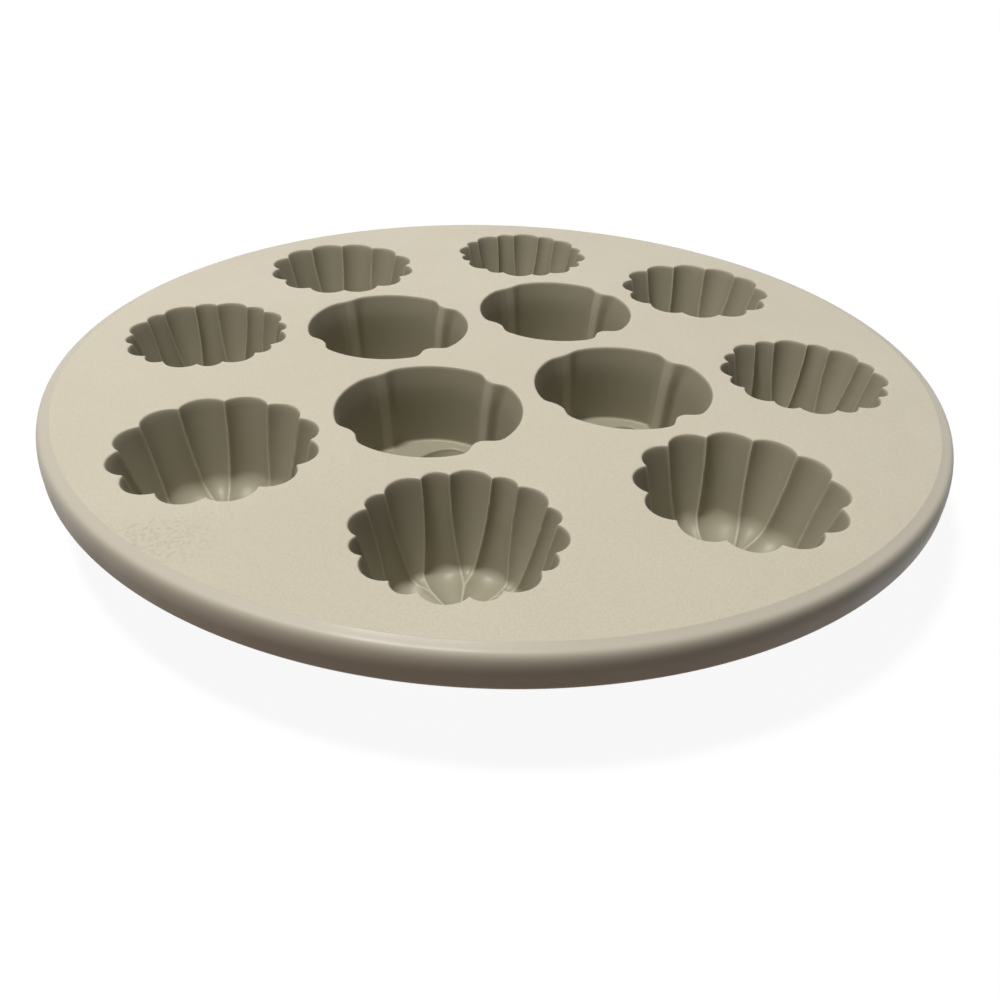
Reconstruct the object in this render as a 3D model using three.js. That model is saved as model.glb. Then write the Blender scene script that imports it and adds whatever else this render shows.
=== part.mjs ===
// A round silicone cupcake pan: a flat deck inside a thick rounded rim, with twelve flower-shaped cups.
// Fluted and petal cups take turns on an outer ring, and four lobed cups stand on an inner ring.
// Each cup hangs under the deck as a wall with a floor that can be pushed up to release a cake.
// Millimetres, +Z up, with the origin on the table under the middle of the pan.

import * as THREE from 'three';

// Deck and rim
const DECK_THICKNESS = 3;
const WEB_BETWEEN_LOBED_CUPS = 8.7;
const WEB_BETWEEN_RINGS = 6.9;
const EDGE_MARGIN = 17.1;
const RIM_HEIGHT = 12.5;
const RIM_WIDTH = 12;
const RIM_TOP_WIDTH = 5.4;
const RIM_TOP_DEPTH = 8.2;
const RIM_TOP_POWER = 2.7;
const RIM_FOOT_RADIUS = 1.6;

// Cups: depths are measured down from the top of the deck
const CUP_DEPTH = 36.5;
const WALL_THICKNESS = 2.5;
const FLOOR_THICKNESS = 2.5;
const FLOOR_RIDGE_HEIGHT = 1.8;
const FOOT_WIDTH = 3;

// Fluted and petal cups have two lobes in turn: one closes towards the floor and the next opens out
const LOBE_CLOSING_POWER = 4;

// Fluted cup: round flutes that are all alike at the lip, over a deeply rounded bowl
const FLUTE_PAIRS = 6;
const FLUTE_NOTCH_RADIUS = 31.5;
const FLUTE_CREST_RADIUS = 35.4;
const FLUTE_TIP_HALF_ANGLE = THREE.MathUtils.degToRad(5);
const FLUTE_CURVE_HEIGHT = 12.5;
const FLUTE_CURVE_BULGE = 0.68;
const FLUTE_KNEE_RADIUS = 26;
const FLUTE_SEAT_RADIUS = 11;

// Petal cup: wide petals that close almost to a point, with narrow ones between
const PETAL_PAIRS = 8;
const PETAL_NOTCH_RADIUS = 30.2;
const WIDE_PETAL_CREST_RADIUS = 33.6;
const NARROW_PETAL_CREST_RADIUS = 32.9;
const WIDE_PETAL_HALF_ANGLE = THREE.MathUtils.degToRad(13.4);
const PETAL_TIP_HALF_ANGLE = THREE.MathUtils.degToRad(2.5);
const PETAL_CURVE_HEIGHT = 6;
const PETAL_CURVE_BULGE = 0.72;
const PETAL_KNEE_RADIUS = 23.8;
const PETAL_SEAT_RADIUS = 15.2;

// Lobed cup: four broad lobes with steep walls, a flat ledge and a recess of four petals inside it.
// Each petal of the recess draws in from one of the lip's notches to the next.
const LOBE_CREST_RADIUS = 34.9;
const LOBE_NOTCHES = [
  { degrees: 51, radius: 31.6 },
  { degrees: 135, radius: 33.5 },
  { degrees: 222, radius: 31.8 },
  { degrees: 313, radius: 30.2 },
];
const LOBE_NOTCH_HALF_ANGLE = THREE.MathUtils.degToRad(9.5);
const FLARE_DEPTH = 10;
const FLARE_SCALE = 0.93;
const LEDGE_DEPTH = 32.5;
const LEDGE_SCALE = 0.88;
const RECESS_CREST_RADIUS = 25.3;
const RECESS_END_RADIUS = 14.5;
const RECESS_PETAL_POWER = 1.6;
const RECESS_TAPER = 0.9;

// Gap that is left where one piece seats against another
const SEAM_GAP = 0.3;

// Facets
const RIM_STEPS = 72;
const RIM_ARC_STEPS = 5;
const RIM_FOOT_ARC_STEPS = 2;
const FLUTE_STEPS = 4;
const PETAL_STEPS = 3;
const LOBED_CUP_STEPS = 72;

// Layout that follows from the sizes above
const TURN = 2 * Math.PI;
const CUPS_OF_A_KIND = 4;
const RING_STAGGER = TURN / (4 * CUPS_OF_A_KIND);
const OUTER_CUP_RADIUS = Math.max(FLUTE_CREST_RADIUS, WIDE_PETAL_CREST_RADIUS, NARROW_PETAL_CREST_RADIUS);
const INNER_RING_RADIUS = (2 * LOBE_CREST_RADIUS + WEB_BETWEEN_LOBED_CUPS) / Math.SQRT2;
const RING_SPACING = LOBE_CREST_RADIUS + WEB_BETWEEN_RINGS + OUTER_CUP_RADIUS;
const OUTER_RING_RADIUS =
  INNER_RING_RADIUS * Math.cos(RING_STAGGER) +
  Math.sqrt(RING_SPACING ** 2 - (INNER_RING_RADIUS * Math.sin(RING_STAGGER)) ** 2);
const PAN_RADIUS = OUTER_RING_RADIUS + OUTER_CUP_RADIUS + EDGE_MARGIN;
const DECK_RADIUS = PAN_RADIUS - RIM_TOP_WIDTH;
const DECK_TOP = CUP_DEPTH + FLOOR_THICKNESS;

// Radius, at an angle from its middle, of a round lobe that runs as an arc from notch to notch over a crest.
function lobeRadius(angle, halfAngle, notch, crest) {
  const chordX = notch * Math.cos(halfAngle);
  const chordY = notch * Math.sin(halfAngle);
  const rise = crest - chordX;
  const arc = (chordY ** 2 + rise ** 2) / (2 * rise);
  const centre = crest - arc;
  const along = centre * Math.cos(angle);
  return along + Math.sqrt(along ** 2 - centre ** 2 + arc ** 2);
}

// Each outline gives the angle and radius of one step round the cup, before the wall's taper.
// closing runs from 0 at the lip to 1 at the floor.
function pairedLobes(step, closing) {
  const pitch = TURN / this.pairs;
  const lobeSteps = this.steps / (2 * this.pairs);
  const opening = 1 - closing ** LOBE_CLOSING_POWER;
  const half = this.tipHalfAngle + (this.halfAngle - this.tipHalfAngle) * opening;
  const nextHalf = pitch / 2 - half;
  const pair = Math.floor(step / (2 * lobeSteps));
  const inPair = step % (2 * lobeSteps);
  if (inPair < lobeSteps) {
    const fromMiddle = half * ((2 * inPair) / lobeSteps - 1);
    const crest = this.notch + ((this.crest - this.notch) * half) / this.halfAngle;
    return { angle: pitch * pair + fromMiddle, radius: lobeRadius(fromMiddle, half, this.notch, crest) };
  }
  const fromMiddle = nextHalf * ((2 * (inPair - lobeSteps)) / lobeSteps - 1);
  const radius = lobeRadius(fromMiddle, nextHalf, this.notch, this.nextCrest);
  return { angle: pitch * (pair + 0.5) + fromMiddle, radius };
}

const fluted = {
  name: 'fluted',
  steps: FLUTE_PAIRS * 2 * FLUTE_STEPS,
  pairs: FLUTE_PAIRS,
  notch: FLUTE_NOTCH_RADIUS,
  crest: FLUTE_CREST_RADIUS,
  nextCrest: FLUTE_CREST_RADIUS,
  halfAngle: TURN / (4 * FLUTE_PAIRS),
  tipHalfAngle: FLUTE_TIP_HALF_ANGLE,
  outline: pairedLobes,
  section: curvedSection({
    lip: FLUTE_NOTCH_RADIUS,
    knee: FLUTE_KNEE_RADIUS,
    seat: FLUTE_SEAT_RADIUS,
    curveHeight: FLUTE_CURVE_HEIGHT,
    bulge: FLUTE_CURVE_BULGE,
  }),
};

const petal = {
  name: 'petal',
  steps: PETAL_PAIRS * 2 * PETAL_STEPS,
  pairs: PETAL_PAIRS,
  notch: PETAL_NOTCH_RADIUS,
  crest: WIDE_PETAL_CREST_RADIUS,
  nextCrest: NARROW_PETAL_CREST_RADIUS,
  halfAngle: WIDE_PETAL_HALF_ANGLE,
  tipHalfAngle: PETAL_TIP_HALF_ANGLE,
  outline: pairedLobes,
  section: curvedSection({
    lip: PETAL_NOTCH_RADIUS,
    knee: PETAL_KNEE_RADIUS,
    seat: PETAL_SEAT_RADIUS,
    curveHeight: PETAL_CURVE_HEIGHT,
    bulge: PETAL_CURVE_BULGE,
  }),
};

const lobed = {
  name: 'lobed',
  steps: LOBED_CUP_STEPS,
  notch: LOBE_CREST_RADIUS,
  crest: LOBE_CREST_RADIUS,
  outline(step, closing) {
    const angle = (TURN * step) / this.steps;
    let lip = LOBE_CREST_RADIUS;
    let petal = 0;
    LOBE_NOTCHES.forEach((notch, number) => {
      const next = LOBE_NOTCHES[(number + 1) % LOBE_NOTCHES.length];
      const span = THREE.MathUtils.euclideanModulo(next.degrees - notch.degrees, 360);
      const past = THREE.MathUtils.euclideanModulo(THREE.MathUtils.radToDeg(angle) - notch.degrees, 360);
      const away = THREE.MathUtils.degToRad(Math.min(past, 360 - past));
      lip -= (LOBE_CREST_RADIUS - notch.radius) * Math.exp(-((away / LOBE_NOTCH_HALF_ANGLE) ** 2));
      if (past < span) petal = Math.sin(Math.PI * Math.sqrt(past / span)) ** RECESS_PETAL_POWER;
    });
    const recess = RECESS_END_RADIUS + (RECESS_CREST_RADIUS - RECESS_END_RADIUS) * petal;
    return { angle, radius: lip + (recess - lip) * closing };
  },
  section: ledgeSection(),
};

// Section of a cup whose wall curves into its floor. Each level has a depth and a scale of the lip's outline.
// out and down give the outer face of the wall, which lies its own thickness away.
// bulge is how far out and down the curve's middle lies, from 0.5 for a straight slope to 1 for a corner.
function curvedSection({ lip, knee, seat, curveHeight, bulge }) {
  const kneeDepth = CUP_DEPTH - curveHeight;
  const bend = seat + (knee - seat) * bulge;
  return {
    levels: [
      { depth: DECK_THICKNESS + SEAM_GAP, scale: 1, out: WALL_THICKNESS, down: 0 },
      { depth: kneeDepth, scale: knee / lip, out: WALL_THICKNESS, down: 0 },
      {
        depth: kneeDepth + curveHeight * bulge,
        scale: bend / lip,
        out: WALL_THICKNESS * Math.SQRT1_2,
        down: FLOOR_THICKNESS * Math.SQRT1_2,
      },
      { depth: CUP_DEPTH, scale: seat / lip, out: FOOT_WIDTH, down: FLOOR_THICKNESS, seat: true },
    ],
    ridge: FLOOR_RIDGE_HEIGHT,
  };
}

// Section of a lobed cup: the wall flares near the lip and ends on a ledge, and a recess goes on down.
// closing is 0 for the lip's outline and 1 for the recess's.
function ledgeSection() {
  const wall = WALL_THICKNESS;
  return {
    levels: [
      { depth: DECK_THICKNESS + SEAM_GAP, scale: 1, closing: 0, out: wall, down: 0 },
      { depth: FLARE_DEPTH, scale: FLARE_SCALE, closing: 0, out: wall, down: 0 },
      { depth: LEDGE_DEPTH, scale: LEDGE_SCALE, closing: 0, out: wall, down: wall },
      { depth: LEDGE_DEPTH, scale: 1, closing: 1, out: FOOT_WIDTH, down: wall },
      {
        depth: CUP_DEPTH,
        scale: RECESS_TAPER,
        closing: 1,
        out: FOOT_WIDTH,
        down: FLOOR_THICKNESS,
        seat: true,
      },
    ],
    ridge: 0,
  };
}

// One ring of points round a cup at a level of its section, moved out and down from the inner face.
function cupRing(cup, level, out, down) {
  const ring = [];
  const ridge = level.seat && down === 0 ? cup.section.ridge : 0;
  for (let step = 0; step < cup.steps; step++) {
    const { angle, radius } = cup.outline(step, level.closing ?? level.depth / CUP_DEPTH);
    const reach = radius * level.scale + out;
    const ridgeShare = ridge && THREE.MathUtils.clamp((cup.crest - radius) / (cup.crest - cup.notch), 0, 1);
    const z = DECK_TOP - level.depth - down + ridge * ridgeShare;
    ring.push(new THREE.Vector3(reach * Math.cos(angle), reach * Math.sin(angle), z));
  }
  return ring;
}

// Closed mesh through rings of points, where a ring of one point is a pole.
function loft(rings, endsMeet) {
  const starts = [];
  const points = [];
  for (const ring of rings) {
    starts.push(points.length);
    points.push(...ring);
  }
  const index = [];
  const links = endsMeet ? rings.length : rings.length - 1;
  for (let level = 0; level < links; level++) {
    const next = (level + 1) % rings.length;
    const here = rings[level].length;
    const there = rings[next].length;
    const around = Math.max(here, there);
    for (let step = 0; step < around; step++) {
      const turn = (step + 1) % around;
      const a = starts[level] + (step % here);
      const b = starts[level] + (turn % here);
      const c = starts[next] + (step % there);
      const d = starts[next] + (turn % there);
      if (here > 1) index.push(a, b, d);
      if (there > 1) index.push(a, d, c);
    }
  }
  const geometry = new THREE.BufferGeometry().setFromPoints(points);
  geometry.setIndex(index);
  geometry.computeVertexNormals();
  return geometry;
}

function cupWall(cup) {
  const { levels } = cup.section;
  const inner = levels.map((level) => cupRing(cup, level, 0, 0));
  const outer = levels.map((level) => cupRing(cup, level, level.out, level.down));
  const seat = levels[levels.length - 1];
  const seatEdge = cupRing(cup, seat, 0, FLOOR_THICKNESS);
  return loft([...inner, seatEdge, ...outer.reverse()], true);
}

function cupFloor(cup) {
  const seat = cup.section.levels[cup.section.levels.length - 1];
  const top = cupRing(cup, seat, -SEAM_GAP, 0);
  const bottom = cupRing(cup, seat, -SEAM_GAP, FLOOR_THICKNESS - SEAM_GAP);
  const centre = (z) => [new THREE.Vector3(0, 0, z)];
  return loft([centre(SEAM_GAP), bottom, top, centre(FLOOR_THICKNESS)], false);
}

// The mouth of a cup as a hole in the deck.
function cupMouth(cup, x, y) {
  const points = [];
  for (let step = 0; step < cup.steps; step++) {
    const { angle, radius } = cup.outline(step, 0);
    points.push(new THREE.Vector2(x + radius * Math.cos(angle), y + radius * Math.sin(angle)));
  }
  return new THREE.Path(points);
}

function deckPlate(places) {
  const edge = [];
  for (let step = 0; step < RIM_STEPS; step++) {
    const angle = (TURN * step) / RIM_STEPS;
    edge.push(new THREE.Vector2(DECK_RADIUS * Math.cos(angle), DECK_RADIUS * Math.sin(angle)));
  }
  const plate = new THREE.Shape(edge);
  plate.holes = places.map(({ cup, x, y }) => cupMouth(cup, x, y));
  const geometry = new THREE.ExtrudeGeometry(plate, { depth: DECK_THICKNESS, bevelEnabled: false });
  return geometry.translate(0, 0, DECK_TOP - DECK_THICKNESS);
}

// Solid bead round the deck, with a rounded top and a shelf that carries the deck's edge.
function rimBead() {
  const inside = DECK_RADIUS + SEAM_GAP;
  const shelf = PAN_RADIUS - RIM_WIDTH;
  const shelfTop = DECK_TOP - DECK_THICKNESS - SEAM_GAP;
  const bottom = DECK_TOP - RIM_HEIGHT;
  const section = [
    new THREE.Vector2(inside, shelfTop),
    new THREE.Vector2(shelf, shelfTop),
    new THREE.Vector2(shelf, bottom),
  ];
  for (let step = 0; step <= RIM_FOOT_ARC_STEPS; step++) {
    const turn = ((Math.PI / 2) * step) / RIM_FOOT_ARC_STEPS;
    const r = PAN_RADIUS - RIM_FOOT_RADIUS * (1 - Math.sin(turn));
    section.push(new THREE.Vector2(r, bottom + RIM_FOOT_RADIUS * (1 - Math.cos(turn))));
  }
  for (let step = 0; step < RIM_ARC_STEPS; step++) {
    const turn = ((Math.PI / 2) * step) / RIM_ARC_STEPS;
    const r = DECK_RADIUS + RIM_TOP_WIDTH * Math.cos(turn) ** (2 / RIM_TOP_POWER);
    const drop = RIM_TOP_DEPTH * (1 - Math.sin(turn) ** (2 / RIM_TOP_POWER));
    section.push(new THREE.Vector2(r, DECK_TOP - drop));
  }
  section.push(new THREE.Vector2(inside, DECK_TOP));
  section.push(section[0].clone());
  return new THREE.LatheGeometry(section, RIM_STEPS).rotateX(Math.PI / 2);
}

function silicone() {
  return new THREE.MeshStandardMaterial({ color: 0xd0c9b4, roughness: 0.62, metalness: 0 });
}

function piece(name, geometry) {
  const mesh = new THREE.Mesh(geometry, silicone());
  mesh.name = name;
  return mesh;
}

// Places of the cups, which all face one way.
const places = [];
for (let i = 0; i < CUPS_OF_A_KIND; i++) {
  const quarter = (TURN * i) / CUPS_OF_A_KIND;
  const spots = [
    { cup: fluted, ring: OUTER_RING_RADIUS, bearing: quarter - TURN / 8 },
    { cup: petal, ring: OUTER_RING_RADIUS, bearing: quarter - TURN / 4 },
    { cup: lobed, ring: INNER_RING_RADIUS, bearing: quarter - RING_STAGGER },
  ];
  for (const { cup, ring, bearing } of spots) {
    places.push({
      cup,
      name: `${cup.name}_cup_${i + 1}`,
      x: ring * Math.cos(bearing),
      y: ring * Math.sin(bearing),
    });
  }
}

const pan = new THREE.Group();
pan.name = 'flower_cupcake_pan';
pan.add(piece('deck', deckPlate(places)));
pan.add(piece('rim', rimBead()));
for (const { cup, name, x, y } of places) {
  const holder = new THREE.Group();
  holder.position.set(x, y, 0);
  holder.add(piece(`${name}_wall`, cupWall(cup)));
  holder.add(piece(`${name}_floor`, cupFloor(cup)));
  pan.add(holder);
}

export default pan;
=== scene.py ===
"""Looks of a silicone flower cupcake pan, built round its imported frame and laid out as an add-on."""

import math

import bpy
import numpy as np
from bpy.props import FloatProperty, FloatVectorProperty, IntProperty, PointerProperty
from mathutils import Matrix, Vector


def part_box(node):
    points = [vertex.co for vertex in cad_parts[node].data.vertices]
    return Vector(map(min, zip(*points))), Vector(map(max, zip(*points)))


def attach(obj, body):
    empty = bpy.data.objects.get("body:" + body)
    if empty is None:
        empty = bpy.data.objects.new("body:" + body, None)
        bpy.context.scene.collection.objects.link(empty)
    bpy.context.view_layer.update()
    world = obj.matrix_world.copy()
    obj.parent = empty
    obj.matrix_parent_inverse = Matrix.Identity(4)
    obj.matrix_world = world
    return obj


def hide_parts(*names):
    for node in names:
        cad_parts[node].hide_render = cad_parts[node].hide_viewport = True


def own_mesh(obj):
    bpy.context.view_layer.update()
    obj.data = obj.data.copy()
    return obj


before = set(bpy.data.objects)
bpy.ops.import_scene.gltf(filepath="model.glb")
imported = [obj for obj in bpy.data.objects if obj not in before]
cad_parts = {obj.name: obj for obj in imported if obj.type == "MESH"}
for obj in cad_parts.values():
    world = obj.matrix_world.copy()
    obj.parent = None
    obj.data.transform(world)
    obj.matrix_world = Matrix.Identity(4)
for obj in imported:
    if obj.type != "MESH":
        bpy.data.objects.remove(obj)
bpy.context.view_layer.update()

bl_info = {
    "name": "Silicone flower cupcake pan",
    "version": (1, 0, 0),
    "blender": (4, 5, 0),
    "location": "3D View > Sidebar > Cupcake Pan",
    "description": "Builds a round silicone pan with fluted, petal and lobed cups round its frame",
    "category": "Add Mesh",
}

# Places and sizes that the frame gives, in metres
PAN_BODY = "pan"
DECK_LOW, DECK_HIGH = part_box("deck")
RIM_LOW, RIM_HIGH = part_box("rim")
DECK_TOP = DECK_HIGH.z
DECK_RADIUS = DECK_HIGH.x
DECK_THICKNESS = DECK_HIGH.z - DECK_LOW.z
PAN_RADIUS = RIM_HIGH.x
RIM_HEIGHT = RIM_HIGH.z - RIM_LOW.z
CUPS_OF_A_KIND = 4
SHARP_EDGE = math.radians(50)
MERGE_DISTANCE = 1e-6


def cup_name(kind, number):
    return f"{kind}_cup_{number + 1}"


def cup_centre(kind, number):
    """Middle of a cup on the table, from the box of its wall in the frame."""
    low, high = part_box(cup_name(kind, number) + "_wall")
    return Vector(((low.x + high.x) / 2, (low.y + high.y) / 2, 0.0))


def length(name, description, default):
    return FloatProperty(name=name, description=description, default=default, unit="LENGTH", precision=5)


def angle(name, description, degrees):
    return FloatProperty(name=name, description=description, default=math.radians(degrees), subtype="ANGLE")


def colour(name, description, default):
    return FloatVectorProperty(name=name, description=description, default=default, subtype="COLOR", size=3)


def exponent(name, description, default):
    return FloatProperty(name=name, description=description, default=default)


def watts(name, description, default):
    return FloatProperty(name=name, description=description, default=default, subtype="POWER")


def share(name, description, default):
    return FloatProperty(name=name, description=description, default=default, min=0.0, max=1.0)


class PanSizes(bpy.types.PropertyGroup):
    """Sizes of the deck, the rim and the section that all cups share"""

    collar_radius: length("Collar radius", "Round patch of deck that belongs to each cup", 0.0379)
    lip_radius: length("Lip radius", "Rounding of the edge between deck and cup", 0.0008)
    cup_depth: length("Cup depth", "From the top of the deck to the floor of a cup", 0.0365)
    wall_thickness: length("Wall thickness", "Silicone of the cup walls", 0.0025)
    floor_thickness: length("Floor thickness", "Silicone of the cup floors", 0.0025)
    floor_ridge_height: length("Floor ridges", "Height of the ridges that run in over a floor", 0.0020)
    ridge_softness: length("Ridge softness", "Rounding of the ridges inside the cups", 0.0004)
    closing_power: exponent("Closing", "How late the closing lobes of a cup draw together", 2.5)
    foot_width: length("Foot width", "Flat ring under the edge of a floor", 0.003)
    under_fillet: length("Under fillet", "Rounding where a cup leaves the underside of the deck", 0.0008)
    rim_width: length("Rim width", "Width of the rim at its underside", 0.012)
    rim_top_depth: length("Rim top depth", "Height over which the rim's top turns down", 0.0072)
    rim_top_power: exponent("Rim top power", "How far out the rim's top stays flat", 4.8)
    rim_side_power: exponent("Rim side power", "How soon the rim's side is upright", 1.5)
    rim_foot_radius: length("Rim foot radius", "Rounding of the rim's lower edges", 0.0016)
    rim_fall: length("Rim fall", "How far the rim's top slopes down, which leaves a crease", 0.0005)
    steps_round_cup: IntProperty(name="Steps round a cup", description="Facets round each cup", default=480)
    steps_round_rim: IntProperty(name="Steps round the rim", description="Facets round the rim", default=720)


class FlutedCupSizes(bpy.types.PropertyGroup):
    """Sizes of the cups with round flutes that are all alike at the lip"""

    pairs: IntProperty(name="Pairs", description="Pairs of a closing and an opening flute", default=6)
    notch_radius: length("Notch radius", "Radius at the ridges of the lip", 0.0315)
    crest_radius: length("Crest radius", "Radius at the middle of a closing flute of the lip", 0.0354)
    next_crest_radius: length("Next crest", "Radius at the middle of an opening flute", 0.0354)
    half_angle: angle("Half angle", "Half the angle of a closing flute at the lip", 15.0)
    tip_half_angle: angle("Tip half angle", "Half the angle of a closing flute at the floor", 5.0)
    curve_height: length("Floor curve", "Height over which the wall turns into the floor", 0.0085)
    curve_fullness: share("Fullness", "How square the turn into the floor is", 0.55)
    knee_radius: length("Knee radius", "Radius at the ridges where the wall starts to curve", 0.0247)
    seat_radius: length("Seat radius", "Radius at the ridges where the floor starts", 0.011)


class PetalCupSizes(bpy.types.PropertyGroup):
    """Sizes of the cups with wide and narrow petals in turn"""

    pairs: IntProperty(name="Pairs", description="Pairs of a wide and a narrow petal", default=8)
    notch_radius: length("Notch radius", "Radius at the ridges of the lip", 0.0302)
    crest_radius: length("Crest radius", "Radius at the middle of a wide petal", 0.0336)
    next_crest_radius: length("Next crest", "Radius at the middle of a narrow petal", 0.0329)
    half_angle: angle("Half angle", "Half the angle of a wide petal at the lip", 13.4)
    tip_half_angle: angle("Tip half angle", "Half the angle of a wide petal at the floor", 0.4)
    curve_height: length("Floor curve", "Height over which the wall turns into the floor", 0.0042)
    curve_fullness: share("Fullness", "How square the turn into the floor is", 0.62)
    knee_radius: length("Knee radius", "Radius at the ridges where the wall starts to curve", 0.0227)
    seat_radius: length("Seat radius", "Radius at the ridges where the floor starts", 0.0152)


class LobedCupSizes(bpy.types.PropertyGroup):
    """Sizes of the cups with four broad lobes, a ledge and a recess of four petals"""

    crest_radius: length("Crest radius", "Radius of the lobes at the lip", 0.0349)
    notch_radii: FloatVectorProperty(
        name="Notch radii",
        description="Radius at each notch of the lip",
        default=(0.0316, 0.0335, 0.0318, 0.0302),
        size=4,
        unit="LENGTH",
        precision=5,
    )
    notch_angles: FloatVectorProperty(
        name="Notch angles",
        description="Bearing of each notch, from the pan's X axis",
        default=[math.radians(degrees) for degrees in (51, 135, 222, 313)],
        size=4,
        subtype="EULER",
    )
    notch_half_angle: angle("Notch half angle", "Half width of a notch at the lip", 9.0)
    notch_power: exponent("Notch power", "How clear a notch's edges are", 2.6)
    rib_half_angle: angle("Rib half angle", "Half width of the rib under a notch", 8.0)
    rib_power: exponent("Rib power", "How clear a rib's edges are", 3.8)
    flare_depth: length("Flare depth", "Depth over which the wall leans in faster", 0.010)
    flare_scale: share("Flare scale", "Size of the cup at that depth, as a share of its lip", 0.93)
    ledge_depth: length("Ledge depth", "From the top of the deck to the ledge", 0.0325)
    ledge_fillet: length("Ledge fillet", "Rounding where the wall meets the ledge", 0.0012)
    ledge_scale: share("Ledge scale", "Size of the cup at the ledge, as a share of its lip", 0.88)
    recess_crest_radius: length("Recess crest", "Widest radius of a petal of the recess", 0.0253)
    recess_end_radius: length("Recess end", "Radius where a petal of the recess ends", 0.0145)
    petal_power: exponent("Petal power", "How slender each petal of the recess is", 1.6)
    recess_taper: share("Recess taper", "Size of the recess's floor, as a share of its edge", 0.9)
    recess_fillet: length("Recess fillet", "Rounding of the recess's edges", 0.0012)


class SiliconeLook(bpy.types.PropertyGroup):
    """Finish of the silicone, with painted shade in the cups and at the rim's foot and painted highlights on
    ridges
    """

    beige: colour("Beige", "Main colour of the silicone", (0.625, 0.576, 0.452))
    pale: colour("Pale", "Lighter clouds in the silicone", (0.650, 0.602, 0.478))
    # Painted shade: a darker colour laid inside the cups in place of the shade that falls in them
    painted_cup_shade: colour("Deep", "Silicone inside the cups, which baking has darkened", (0.35, 0.324, 0.238))
    rim: colour("Rim", "Smooth silicone of the rim", (0.56, 0.515, 0.425))
    # Painted shade and painted warm reflection: the foot of the rim is coloured darker and browner
    rim_foot_shade_and_reflection: colour("Rim's foot", "Silicone at the foot of the rim, which is browner", (0.55, 0.44, 0.32))
    smudge: colour("Smudge", "Handling marks and grains on the deck", (0.36, 0.32, 0.25))
    grain: share("Grain", "Strength of the fine grain on the deck", 0.30)
    roughness: share("Roughness", "Mean roughness of the matte surface", 0.45)
    # Painted highlight: how much lighter the ridge tops inside the cups are painted
    ridge_highlight: share("Rub", "How pale the ridges inside the cups are rubbed", 0.6)
    specular: share("Specular", "Strength of the soft gloss", 0.35)


class StageLook(bpy.types.PropertyGroup):
    """Floor, light and camera"""

    floor: colour("Floor", "What the floor, white to the camera, reflects onto the pan", (0.09, 0.09, 0.09))
    key_power: watts("Key light", "Light from high on the left", 17.0)
    key_bearing: angle("Key bearing", "Where the key light stands, from the pan's X axis", 190.0)
    key_height: angle("Key height", "How high the key light stands over the table", 77.0)
    key_distance: length("Key distance", "From the pan to the key light", 1.4)
    key_size: length("Key size", "Width of the key light", 0.22)
    fill_power: watts("Fill light", "Low warm light on the front of the rim", 0.4)
    sky: FloatProperty(name="Sky", description="Strength of the even light all round", default=0.07)
    focal_length: FloatProperty(
        name="Focal length", description="Lens of the camera", default=31.31, unit="CAMERA"
    )


SETTINGS = {
    "pan_sizes": PanSizes,
    "fluted_cup": FlutedCupSizes,
    "petal_cup": PetalCupSizes,
    "lobed_cup": LobedCupSizes,
    "pan_silicone": SiliconeLook,
    "pan_stage": StageLook,
}


# Geometry Nodes


class Formula:
    """A number that nodes work out, so that a rule can be written with plain arithmetic."""

    def __init__(self, tree, socket):
        self.tree = tree
        self.socket = socket

    def made(self, operation, *others):
        node = self.tree.nodes.new("ShaderNodeMath")
        node.operation = operation
        for slot, value in zip(node.inputs, (self, *others)):
            if isinstance(value, Formula):
                self.tree.links.new(value.socket, slot)
            else:
                slot.default_value = value
        return Formula(self.tree, node.outputs[0])

    def __add__(self, other):
        return self.made("ADD", other)

    def __sub__(self, other):
        return self.made("SUBTRACT", other)

    def __mul__(self, other):
        return self.made("MULTIPLY", other)

    def __truediv__(self, other):
        return self.made("DIVIDE", other)

    def __pow__(self, other):
        return self.made("POWER", other)

    def mixed(self, other, how_much):
        return self + (other - self) * how_much


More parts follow.
